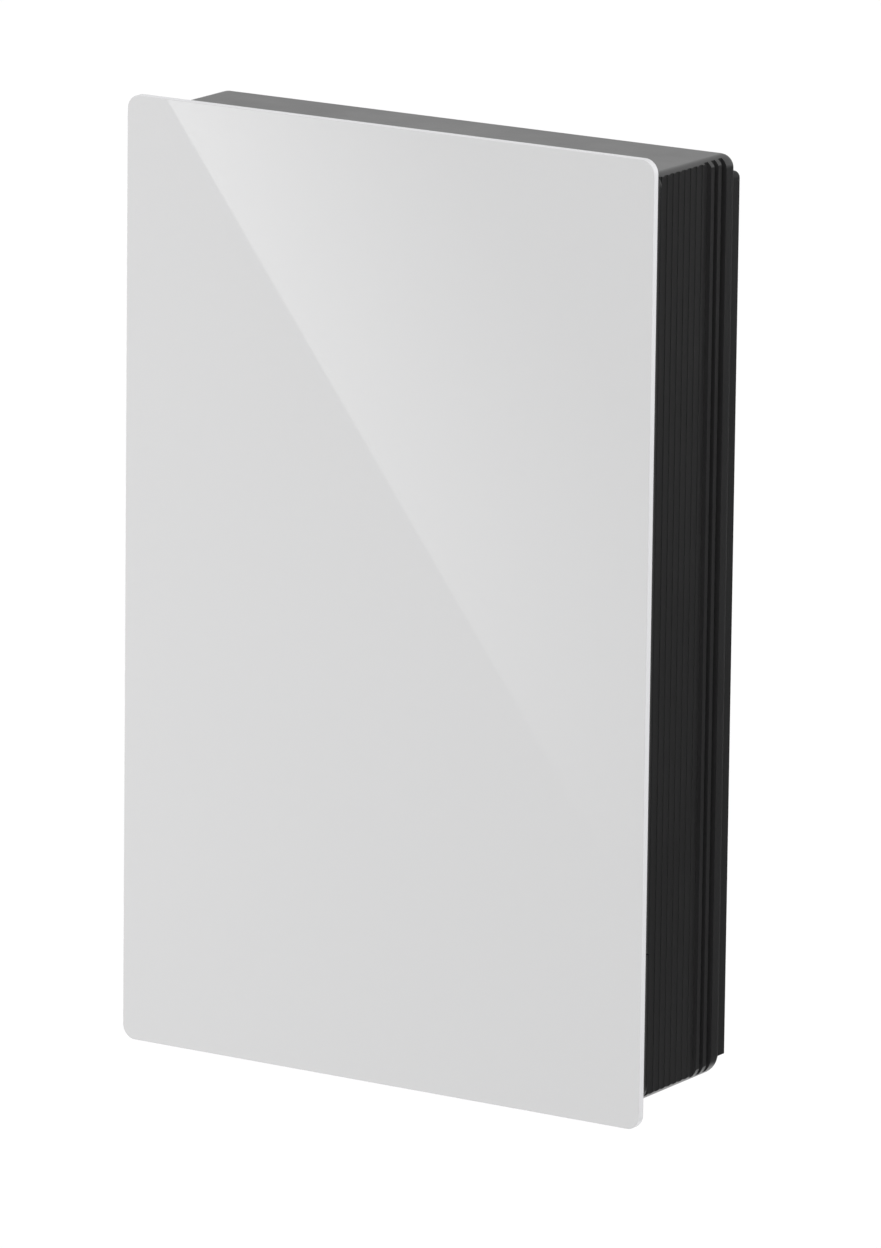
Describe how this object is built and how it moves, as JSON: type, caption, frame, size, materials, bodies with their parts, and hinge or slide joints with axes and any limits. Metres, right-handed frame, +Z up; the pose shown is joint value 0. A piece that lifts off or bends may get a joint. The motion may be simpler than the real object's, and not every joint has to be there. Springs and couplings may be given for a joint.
{
  "type": "wall battery unit",
  "caption": "Glass-fronted home battery unit that hangs on a wall bracket, with ribbed die-cast case, clip-on front panel, cells, power stage and wiring room.",
  "frame": {"origin": "centre of the four wall bolt holes, on the wall's plane", "axes": "+X to the right seen from the front, +Y into the wall, +Z up"},
  "size_m": [0.417, 0.127, 0.66],
  "materials": {
    "panel_glass": "gloss, white on its back",
    "carrier_paint": "satin",
    "case_coat": "satin powder coat",
    "bracket_coat": "satin powder coat",
    "zinc_steel": "zinc plated",
    "seal_rubber": "matt",
    "black_plastic": "moulded",
    "grey_plastic": "moulded",
    "rocker_plastic": "gloss",
    "lens_plastic": "frosted",
    "cell_can": "film wrapped",
    "insulator_sheet": "satin",
    "copper": "tinned edges",
    "board_green": "solder resist",
    "post_brass": "turned",
    "capacitor_sleeve": "sleeved",
    "ferrite": "wound",
    "fuse_ceramic": "glazed"
  },
  "bodies": {
    "bracket": {"wall_bracket": "bracket_coat", "hanging_studs": "zinc_steel"},
    "case": {"battery_cells": "cell_can", "battery_cover": "case_coat", "battery_gasket": "seal_rubber", "board_posts": "post_brass", "board_screws": "zinc_steel", "board_sockets": "black_plastic", "bus_capacitors": "capacitor_sleeve", "cable_glands": "black_plastic", "cell_links": "copper", "cell_separators": "insulator_sheet", "clamp_bars": "zinc_steel", "clip_sockets": "black_plastic", "conduit_hub": "black_plastic", "contactors": "black_plastic", "control_board": "board_green", "control_posts": "post_brass", "control_screws": "zinc_steel", "cover_screws": "zinc_steel", "end_plates": "grey_plastic", "fan_frames": "black_plastic", "fan_shelf": "zinc_steel", "filter_chokes": "ferrite", "fuse_base": "grey_plastic", "gland_nuts": "black_plastic", "gland_plugs": "seal_rubber", "grid_relays": "black_plastic", "grid_terminals": "grey_plastic", "ground_bar": "copper", "ground_bar_screws": "zinc_steel", "ground_stud": "zinc_steel", "hook_plates": "zinc_steel", "hook_screws": "zinc_steel", "hub_nut": "zinc_steel", "isolator_body": "grey_plastic", "light_board": "board_green", "main_case": "case_coat", "main_fuse": "fuse_ceramic", "panel_bumpers": "seal_rubber", "power_board": "board_green", "power_modules": "black_plastic", "power_posts": "copper", "pressure_vent": "black_plastic", "riser_links": "copper", "rocker_bezel": "black_plastic", "sense_boards": "board_green", "status_light": "lens_plastic", "supply_links": "copper", "terminal_screws": "zinc_steel", "thermal_pad": "insulator_sheet", "wiring_cover": "case_coat", "wiring_gasket": "seal_rubber"},
    "front_panel_set": {"front_panel": "panel_glass", "panel_carrier": "carrier_paint", "panel_studs": "black_plastic"},
    "fan_rotor_left": {"fan_rotor_left": "black_plastic"},
    "fan_rotor_right": {"fan_rotor_right": "black_plastic"},
    "isolator_toggle": {"isolator_toggle": "black_plastic"},
    "enable_rocker": {"enable_rocker": "rocker_plastic"}
  },
  "joints": [
    {"name": "unit_lift", "type": "slide", "parent": "bracket", "child": "case", "axis": [0, 0, 1], "range_m": [0, 0.018]},
    {"name": "panel_pull", "type": "slide", "parent": "case", "child": "front_panel_set", "axis": [0, -1, 0], "range_m": [0, 0.12]},
    {"name": "left_fan_spin", "type": "hinge", "parent": "case", "child": "fan_rotor_left", "pos_m": [-0.105, -0.064, 0.16], "axis": [0, 0, 1], "continuous": true},
    {"name": "right_fan_spin", "type": "hinge", "parent": "case", "child": "fan_rotor_right", "pos_m": [0.105, -0.064, 0.16], "axis": [0, 0, 1], "continuous": true},
    {"name": "isolator_throw", "type": "hinge", "parent": "case", "child": "isolator_toggle", "pos_m": [0.046, -0.089, -0.252], "axis": [1, 0, 0], "range_deg": [0, 50]},
    {"name": "rocker_tip", "type": "hinge", "parent": "case", "child": "enable_rocker", "pos_m": [-0.2042, -0.07, -0.262], "axis": [0, 1, 0], "range_deg": [0, 14]}
  ]
}
